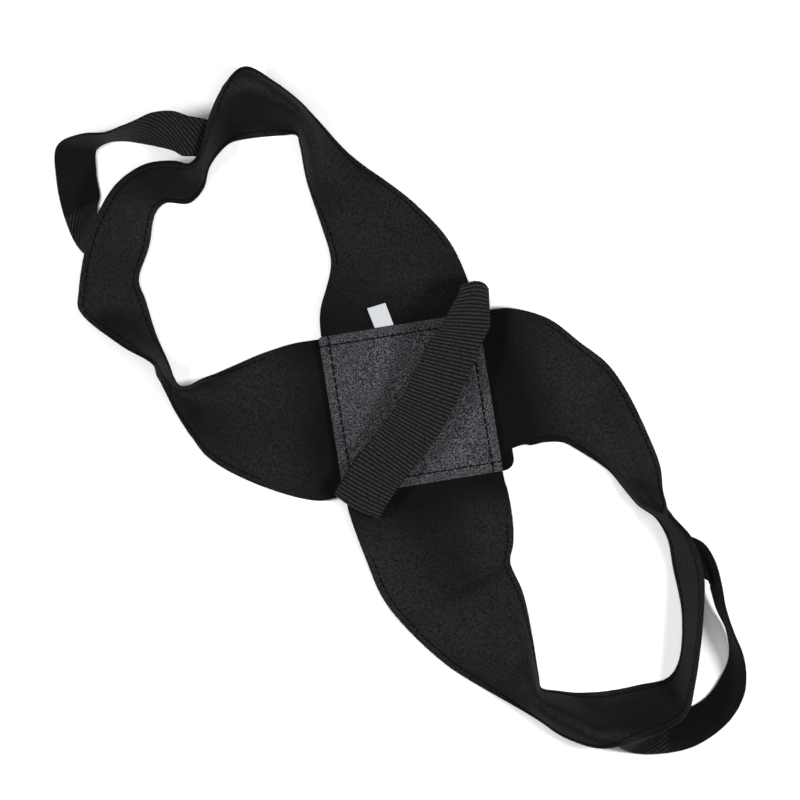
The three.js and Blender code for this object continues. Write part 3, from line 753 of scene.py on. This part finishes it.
def knit_material():
    """Black polyester warp knit, brushed: dull, with a fine slanting rib, lighter or darker in soft random
    patches of its pile, and darker with painted shade beside the sewn square and on slopes that face away
    from the side lamps. The rib is drawn 1.3 mm apart, coarser than the real one, so that it shows."""
    material, tree, shader = start_material("Brushed black warp knit", 0.92, 0.02)
    place = add_node(tree, "ShaderNodeTexCoord")
    # The pile attribute brings painted shade as well as the pile's soft patches.
    pile = add_node(tree, "ShaderNodeAttribute", attribute_name="pile")
    slant = {"Vector": place.outputs["UV"], "Rotation": (0, 0, math.radians(28))}
    turned = add_node(tree, "ShaderNodeMapping", slant)
    bands = {"Vector": turned.outputs["Vector"], "Scale": wave_scale(1.3), "Distortion": 1.2, "Detail": 1}
    rib = add_node(tree, "ShaderNodeTexWave", bands, bands_direction="X").outputs["Fac"]
    lumps = {"Vector": place.outputs["Object"], "Scale": noise_scale(0.7), "Detail": 2}
    fibre = add_node(tree, "ShaderNodeTexNoise", lumps).outputs["Fac"]
    between = {"Value": fibre, "From Min": 0.3, "From Max": 0.7, "To Max": 1.5}
    fine = add_node(tree, "ShaderNodeMapRange", between).outputs["Result"]
    grain = add_node(tree, "ShaderNodeMath", {0: rib, 1: 0.35, 2: fine}, operation="MULTIPLY_ADD")
    laid = {0: pile.outputs["Fac"], 1: grain.outputs[0]}
    share = add_node(tree, "ShaderNodeMath", laid, operation="MULTIPLY").outputs[0]
    height = add_node(tree, "ShaderNodeMath", {0: rib, 1: 0.4, 2: fibre}, operation="MULTIPLY_ADD")
    dress_shader(tree, shader, share, colours().panel, colours().panel_worn, height.outputs[0], 0.3)
    return material


def loop_cloth_material():
    """Brushed nylon loop cloth of a touch fastener: dark grey with light fibre ends in tiny flecks."""
    material, tree, shader = start_material("Brushed nylon loop cloth", 0.85, 0.1)
    place = add_node(tree, "ShaderNodeTexCoord").outputs["Object"]
    ends = {"Vector": place, "Scale": noise_scale(0.45), "Detail": 2}
    fleck = add_node(tree, "ShaderNodeTexNoise", ends).outputs["Fac"]
    brushed = {"Vector": place, "Scale": noise_scale(14), "Detail": 2}
    nap = add_node(tree, "ShaderNodeTexNoise", brushed).outputs["Fac"]
    bright = add_node(tree, "ShaderNodeMapRange", {"Value": fleck, "From Min": 0.4, "From Max": 0.7})
    broad = add_node(tree, "ShaderNodeMapRange", {"Value": nap, "From Min": -0.5, "From Max": 0.8})
    both = {0: bright.outputs["Result"], 1: broad.outputs["Result"]}
    light = add_node(tree, "ShaderNodeMath", both, operation="MULTIPLY").outputs[0]
    dress_shader(tree, shader, light, colours().patch, colours().patch_fleck, fleck, 0.5)
    return material


def ribbed_material(name, rib_colour, groove_colour, pitch, slant, depth):
    """Woven elastic or webbing with ribs from its weft cords, straight across or slanting as in twill.
    The ribs follow the cloth's own map, are broken into beads by the warp threads that cross them, and
    show on one face only: the attribute says where that face is up."""
    material, tree, shader = start_material(name, 0.8, 0.02)
    place = add_node(tree, "ShaderNodeTexCoord")
    side = add_node(tree, "ShaderNodeAttribute", attribute_name="ribbed")
    turn = {"Vector": place.outputs["UV"], "Rotation": (0, 0, math.radians(slant))}
    turned = add_node(tree, "ShaderNodeMapping", turn).outputs["Vector"]
    cords = {"Vector": turned, "Scale": wave_scale(pitch), "Distortion": 0.35, "Detail": 1}
    weft = add_node(tree, "ShaderNodeTexWave", cords, bands_direction="Y")
    threads = {"Vector": turned, "Scale": wave_scale(0.7 * pitch), "Distortion": 1.5, "Detail": 1}
    warp = add_node(tree, "ShaderNodeTexWave", threads, bands_direction="X")
    lumps = {"Vector": turned, "Scale": noise_scale(0.8), "Detail": 2}
    fibre = add_node(tree, "ShaderNodeTexNoise", lumps).outputs["Fac"]
    facing = {0: weft.outputs["Fac"], 1: side.outputs["Fac"]}
    rib = add_node(tree, "ShaderNodeMath", facing, operation="MULTIPLY").outputs[0]
    crown = add_node(tree, "ShaderNodeMapRange", {"Value": rib, "From Min": 0.25, "From Max": 0.85})
    fine = add_node(tree, "ShaderNodeMapRange", {"Value": fibre, "From Min": 0.3, "From Max": 0.7})
    crossed = {0: warp.outputs["Fac"], 1: 0.5, 2: fine.outputs["Result"]}
    beads = add_node(tree, "ShaderNodeMath", crossed, operation="MULTIPLY_ADD")
    lit = {0: crown.outputs["Result"], 1: beads.outputs[0]}
    share = add_node(tree, "ShaderNodeMath", lit, operation="MULTIPLY").outputs[0]
    fuzz = add_node(tree, "ShaderNodeMath", {0: fibre, 1: 0.12, 2: share}, operation="MULTIPLY_ADD")
    height = add_node(tree, "ShaderNodeMath", {0: fibre, 1: 0.35, 2: rib}, operation="MULTIPLY_ADD")
    dress_shader(tree, shader, fuzz.outputs[0], groove_colour, rib_colour, height.outputs[0], depth)
    return material


def plain_material(name, colour, size, depth):
    """Sewing thread or woven tape: its filaments lie close, so a dull even tone with a fine grain shows."""
    material, tree, shader = start_material(name, 0.9, 0.01)
    place = add_node(tree, "ShaderNodeTexCoord").outputs["Object"]
    lumps = {"Vector": place, "Scale": noise_scale(size), "Detail": 2}
    grain = add_node(tree, "ShaderNodeTexNoise", lumps).outputs["Fac"]
    darker = tuple(c * 0.8 for c in colour)
    dress_shader(tree, shader, grain, darker, colour, grain, depth)
    return material


def finish_piece(name, mesh, material, node=None):
    """Puts a piece in the scene with its material, its body and what it stands for."""
    piece = bpy.data.objects.new(name, mesh)
    bpy.context.scene.collection.objects.link(piece)
    if not mesh.materials:
        mesh.materials.append(material)
    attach(piece, BODY)
    if node:
        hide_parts(node)
    return piece


def stitch_tree(thread):
    """Geometry Nodes that lay stitches along a line of edges: the line is measured off at the pitch and
    each place takes one stitch, turned along the line."""
    tree = bpy.data.node_groups.new("Lay stitches", "GeometryNodeTree")
    tree.interface.new_socket("Geometry", in_out="OUTPUT", socket_type="NodeSocketGeometry")
    tree.interface.new_socket("Geometry", in_out="INPUT", socket_type="NodeSocketGeometry")
    for name in ("Pitch", "Length", "Thread"):
        tree.interface.new_socket(name, in_out="INPUT", socket_type="NodeSocketFloat")
    given = add_node(tree, "NodeGroupInput")
    line = add_node(tree, "GeometryNodeMeshToCurve", {"Mesh": given.outputs["Geometry"]})
    measured = {"Curve": line.outputs["Curve"], "Length": given.outputs["Pitch"]}
    places = add_node(tree, "GeometryNodeCurveToPoints", measured, mode="LENGTH")
    radius = add_node(tree, "ShaderNodeMath", {0: given.outputs["Thread"], 1: 0.5}, operation="MULTIPLY")
    rod = {"Vertices": 6, "Radius": radius.outputs[0], "Depth": given.outputs["Length"]}
    stitch = add_node(tree, "GeometryNodeMeshCylinder", rod)
    smooth = add_node(tree, "GeometryNodeSetShadeSmooth", {"Geometry": stitch.outputs["Mesh"]})
    laid = {
        "Points": places.outputs["Points"],
        "Instance": smooth.outputs["Geometry"],
        "Rotation": places.outputs["Rotation"],
    }
    stitches = add_node(tree, "GeometryNodeInstanceOnPoints", laid)
    real = add_node(tree, "GeometryNodeRealizeInstances", {"Geometry": stitches.outputs["Instances"]})
    spun = {"Geometry": real.outputs["Geometry"], "Material": thread}
    coloured = add_node(tree, "GeometryNodeSetMaterial", spun)
    add_node(tree, "NodeGroupOutput", {"Geometry": coloured.outputs["Geometry"]})
    return tree


def lay_stitches(name, lines):
    """One mesh of stitches along lines of points, in metres."""
    cloth, _ = sizes()
    thread = thread_material()
    points, edges = [], []
    for line in lines:
        first = len(points)
        points.extend(map(tuple, line))
        edges.extend((first + k, first + k + 1) for k in range(len(line) - 1))
    mesh = bpy.data.meshes.new(name)
    mesh.from_pydata(points, edges, [])
    path = bpy.data.objects.new(name + "_path", mesh)
    bpy.context.scene.collection.objects.link(path)
    modifier = path.modifiers.new("Stitches", "NODES")
    modifier.node_group = stitch_tree(thread)
    wanted = {"Pitch": cloth.stitch_pitch, "Length": cloth.stitch_length, "Thread": cloth.thread}
    for item in modifier.node_group.interface.items_tree:
        if item.item_type == "SOCKET" and item.in_out == "INPUT" and item.name in wanted:
            modifier[item.identifier] = wanted[item.name]
    graph = bpy.context.evaluated_depsgraph_get()
    made = bpy.data.meshes.new_from_object(path.evaluated_get(graph))
    made.name = name
    bpy.data.objects.remove(path)
    return finish_piece(name, made, thread)


def in_metres(points):
    """Points of the part in millimetres from the patch's middle, as places in metres."""
    return np.asarray(points) * MM + np.array((PATCH_MIDDLE.x, PATCH_MIDDLE.y, 0.0))


def thread_material():
    """The thread's material, made once."""
    name = "Black polyester thread"
    return bpy.data.materials.get(name) or plain_material(name, colours().thread, 0.4, 0.05)


def panel_material():
    """The knit's material, made once."""
    return bpy.data.materials.get("Brushed black warp knit") or knit_material()


# The shoulder loops made so far, by node, which the pull loops are sewn to.
LOOPS = {}


def build_loop(name, rows, reach, creases):
    """A shoulder loop, which lies on the square behind the crossing, with stitches in both faces of its
    hems. They stop under the patch, three rows from the start and four from the end."""
    cloth, _ = sizes()
    hem = cloth.hem_width / MM
    loop = shoulder_loop(rows, reach, creases, cloth.panel_thickness / MM, hem)
    LOOPS[name] = loop
    mesh = strip_mesh(name + "_cloth", loop, wall_profile(loop, hem))
    piece = finish_piece(name + "_cloth", mesh, panel_material(), name)
    clear = slice(3 * LOOP_STEPS, -4 * LOOP_STEPS)
    lines = [loop.line(distance, side) for distance in (hem, -hem) for side in (1, -1)]
    stitches = lay_stitches(name + "_hem_stitches", [in_metres(line[clear]) for line in lines])
    loop.flat_size()
    loop.area()


class CORRECTOR_OT_shoulder_loops(bpy.types.Operator):
    """Make the two shoulder loops of black knit with their hems"""

    bl_idname = "corrector.shoulder_loops"
    bl_label = "Shoulder loops"

    def execute(self, context):
        build_loop("upper_left_loop", UPPER_LEFT_ROWS, UPPER_REACH, UPPER_LEFT_CREASES)
        build_loop("lower_right_loop", LOWER_RIGHT_ROWS, LOWER_REACH, LOWER_RIGHT_CREASES)
        return {"FINISHED"}


def round_corner(x, y, straight):
    """Draws a place past the straight part of two sides in, so that a square's corner is an arc."""
    past_x, past_y = abs(x) - straight, abs(y) - straight
    if past_x <= 0 or past_y <= 0:
        return x, y
    shrink = max(past_x, past_y) / math.hypot(past_x, past_y)
    return math.copysign(straight + past_x * shrink, x), math.copysign(straight + past_y * shrink, y)


def square_strip(corner, low, shift, thickness, seam, waviness):
    """A turned square of cloth with round corners, its distance from the nearest edge, and how far its
    upper face dips while its underside stays flat."""
    half = PATCH_SIDE / 2
    near = [0, 0.15, 0.45, 1.0, 2.2, seam - 1.4, seam - 0.7, seam, seam + 0.7, seam + 1.4, seam + 3]
    lines = [d - half for d in near] + list(np.linspace(near[-1] + 2 - half, half - near[-1] - 2, 37))
    lines += [half - d for d in reversed(near)]
    grid = np.zeros((len(lines), len(lines), 3))
    edge = np.zeros((len(lines), len(lines)))
    dip = np.zeros((len(lines), len(lines)))
    for i, y in enumerate(lines):
        for j, x in enumerate(lines):
            across, along = round_corner(x, y, half - corner)
            point = on_patch(((across + shift) / PATCH_SIDE, along / PATCH_SIDE))
            edge[i, j] = half - max(abs(x), abs(y))
            inside = min(edge[i, j] / 12, 1.0)
            dip[i, j] = waviness * inside * (noise.noise(Vector(point) / 19) - 0.4)
            point[2] = low + thickness / 2 + dip[i, j] / 2
            grid[i, j] = point
    square = Strip(grid, thickness)
    square.edge = edge
    square.dip = dip
    square.lines = np.array(lines)
    return square


def seam_grooves(square, seam):
    """How far the stitched lines draw the patch in: four lines that cross near its corners."""
    from_line = abs(abs(square.lines) - (PATCH_SIDE / 2 - seam))
    groove = np.exp(-((from_line / SEAM_GROOVE_WIDTH) ** 2))
    return SEAM_GROOVE * np.maximum(groove[:, None], groove[None, :])


class CORRECTOR_OT_patches(bpy.types.Operator):
    """Make the brushed patch with its crossing stitches and the black square behind it"""

    bl_idname = "corrector.patches"
    bl_label = "Patches"

    def execute(self, context):
        cloth, _ = sizes()
        thickness = cloth.patch_thickness / MM
        seam = cloth.patch_seam / MM
        front = square_strip(FRONT_CORNER, PATCH_TOP - thickness, 0.0, thickness, seam, FRONT_WAVINESS)
        half = wall_profile(front) + front.dip / 2
        half = np.maximum(half - seam_grooves(front, seam) * np.clip(front.edge, 0, 1), THINNEST_HALF)
        mesh = strip_mesh("back_patch_cloth", front, half)
        piece = finish_piece("back_patch_cloth", mesh, loop_cloth_material(), "back_patch")
        reach = 0.5 - 1.0 / PATCH_SIDE
        line_at = 0.5 - seam / PATCH_SIDE
        height = np.array((0.0, 0.0, PATCH_TOP - SEAM_STITCH_DEPTH))
        lines = []
        for side in (-1, 1):
            run = np.linspace(-reach, reach, 60)
            lines.append(in_metres([on_patch((share, side * line_at)) + height for share in run]))
            lines.append(in_metres([on_patch((side * line_at, share)) + height for share in run]))
        stitches = lay_stitches("back_patch_stitches", lines)
        side = PATCH_SIDE * MM
        back = square_strip(BACK_CORNER, 0.0, BACK_SHIFT, thickness, seam, 0.0)
        mesh = strip_mesh("backing_patch_cloth", back, wall_profile(back))
        behind = finish_piece("backing_patch_cloth", mesh, panel_material(), "backing_patch")
        return {"FINISHED"}


def label_strip():
    """The label, which leans to the left and lifts a little at its free end."""
    lean = PATCH_TURN + math.radians(90 + LABEL_LEAN)
    way = np.array((math.cos(lean), math.sin(lean), 0.0))
    start = on_patch((LABEL_AT + LABEL_WIDTH / 2 / PATCH_SIDE, 0.5 + CLEARANCE / PATCH_SIDE))
    sections = []
    for share in np.linspace(0, 1, 13):
        middle = start + way * share * LABEL_LENGTH
        lowest = PATCH_TOP - LABEL_DROP + LABEL_RISE * share**2
        across = math.degrees(PATCH_TURN) + LABEL_TWIST * share
        sections.append(straight_section(middle, across, 0, LABEL_WIDTH, lowest))
    return webbing_strip(sections, LABEL_THICKNESS, 0.0, steps=1)


class CORRECTOR_OT_label(bpy.types.Operator):
    """Make the small label at the patch's upper edge"""

    bl_idname = "corrector.label"
    bl_label = "Label"

    def execute(self, context):
        label = label_strip()
        satin = plain_material("White woven satin tape", colours().label, 0.5, 0.04)
        mesh = strip_mesh("size_label_tape", label, wall_profile(label))
        piece = finish_piece("size_label_tape", mesh, satin, "size_label")
        return {"FINISHED"}


class CORRECTOR_OT_strap(bpy.types.Operator):
    """Make the ribbed elastic strap that arches over the patch"""

    bl_idname = "corrector.strap"
    bl_label = "Back strap"

    def execute(self, context):
        _, webbing = sizes()
        strap = strap_strip(webbing.strap_width / MM, webbing.strap_thickness / MM)
        pitch = webbing.rib_pitch / MM
        elastic = ribbed_material(
            "Ribbed black elastic", colours().elastic, colours().elastic_groove, pitch, 0, 0.5
        )
        mesh = strip_mesh("back_strap_elastic", strap, wall_profile(strap))
        piece = finish_piece("back_strap_elastic", mesh, elastic, "back_strap")
        strap.flat_size()
        strap.area()
        return {"FINISHED"}


class CORRECTOR_OT_pull_loops(bpy.types.Operator):
    """Make the two pull loops of folded webbing"""

    bl_idname = "corrector.pull_loops"
    bl_label = "Pull loops"

    def execute(self, context):
        _, webbing = sizes()
        if len(LOOPS) < 2:
            raise RuntimeError("The shoulder loops are made before the pull loops")
        width, thickness = webbing.webbing_width / MM, webbing.webbing_thickness / MM
        pitch = webbing.rib_pitch / MM
        woven = ribbed_material(
            "Ribbed black webbing", colours().webbing, colours().elastic_groove, pitch, 50, 0.35
        )
        left = (PULL_LEFT_START, PULL_LEFT_ROWS, PULL_LEFT_END)
        right = (PULL_RIGHT_START, PULL_RIGHT_ROWS, PULL_RIGHT_END)
        for name, loop, way, ribs in (
            ("pull_loop_left", "upper_left_loop", left, (0.46, 0.8)),
            ("pull_loop_right", "lower_right_loop", right, (0, 0.76)),
        ):
            pull = pull_strip(LOOPS[loop], *way, width, thickness)
            pull.show_ribs(*ribs)
            mesh = strip_mesh(name + "_webbing", pull, wall_profile(pull))
            piece = finish_piece(name + "_webbing", mesh, woven, name)
            pull.flat_size()
            pull.area()
        return {"FINISHED"}


def add_softbox(wanted):
    """A soft square lamp that shines on the middle of the part."""
    lamp = bpy.data.lights.new(wanted.name, "AREA")
    lamp.shape = "SQUARE"
    lamp.size = wanted.size
    lamp.energy = wanted.power
    softbox = bpy.data.objects.new(wanted.name, lamp)
    softbox.location = wanted.place
    softbox.rotation_euler = (-Vector(wanted.place)).to_track_quat("-Z", "Y").to_euler()
    bpy.context.scene.collection.objects.link(softbox)
    return softbox


def paper_material():
    """Matt white paper, which gives the eye an even pale ground."""
    paper = bpy.data.materials.new("White paper floor")
    paper.use_nodes = True
    shader = paper.node_tree.nodes["Principled BSDF"]
    shader.inputs["Base Color"].default_value = rgba(linear("#fafafa"))
    shader.inputs["Roughness"].default_value = 0.9
    return paper


class CORRECTOR_OT_studio(bpy.types.Operator):
    """Make the pale floor, the soft lights and the camera above"""

    bl_idname = "corrector.studio"
    bl_label = "Studio"

    def execute(self, context):
        scene = context.scene
        turns = ((-1, -1), (1, -1), (1, 1), (-1, 1))
        corners = [(x * FLOOR_REACH, y * FLOOR_REACH, FLOOR_LOW) for x, y in turns]
        mesh = bpy.data.meshes.new("floor")
        mesh.from_pydata(corners, [], [(0, 1, 2, 3)])
        mesh.materials.append(paper_material())
        floor = bpy.data.objects.new("floor", mesh)
        scene.collection.objects.link(floor)
        lens = bpy.data.cameras.new("camera")
        lens.sensor_width = 36
        lens.lens = CAMERA_LENS
        lens.clip_end = 50
        camera = bpy.data.objects.new("camera", lens)
        camera.location = CAMERA_PLACE
        scene.collection.objects.link(camera)
        scene.camera = camera
        lamps = [add_softbox(softbox) for softbox in SOFTBOXES]
        scene.view_settings.view_transform = "Standard"
        return {"FINISHED"}


GROUPS = [
    ("corrector_cloth", ClothSizes),
    ("corrector_webbing", WebbingSizes),
    ("corrector_colours", ClothColours),
]
OPERATORS = [
    CORRECTOR_OT_shoulder_loops,
    CORRECTOR_OT_patches,
    CORRECTOR_OT_label,
    CORRECTOR_OT_strap,
    CORRECTOR_OT_pull_loops,
    CORRECTOR_OT_studio,
]


class CORRECTOR_PT_pieces(bpy.types.Panel):
    """Sizes, colours and pieces of the posture corrector"""

    bl_idname = "CORRECTOR_PT_pieces"
    bl_label = "Posture corrector"
    bl_space_type = "VIEW_3D"
    bl_region_type = "UI"
    bl_category = "Corrector"

    def draw(self, context):
        for name, group in GROUPS:
            for key in group.__annotations__:
                self.layout.prop(getattr(context.scene, name), key)
        for operator in OPERATORS:
            self.layout.operator(operator.bl_idname)


def register():
    """Adds the settings, the operators and the panel."""
    for name, group in GROUPS:
        bpy.utils.register_class(group)
        setattr(bpy.types.Scene, name, bpy.props.PointerProperty(type=group))
    for kind in [*OPERATORS, CORRECTOR_PT_pieces]:
        bpy.utils.register_class(kind)


def unregister():
    """Takes them away again."""
    for kind in reversed([*OPERATORS, CORRECTOR_PT_pieces]):
        bpy.utils.unregister_class(kind)
    for name, group in reversed(GROUPS):
        delattr(bpy.types.Scene, name)
        bpy.utils.unregister_class(group)


def main():
    """Registers the add-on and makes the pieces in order."""
    register()
    bpy.ops.corrector.shoulder_loops()
    bpy.ops.corrector.patches()
    bpy.ops.corrector.label()
    bpy.ops.corrector.strap()
    bpy.ops.corrector.pull_loops()
    bpy.ops.corrector.studio()


if __name__ == "__main__":
    main()
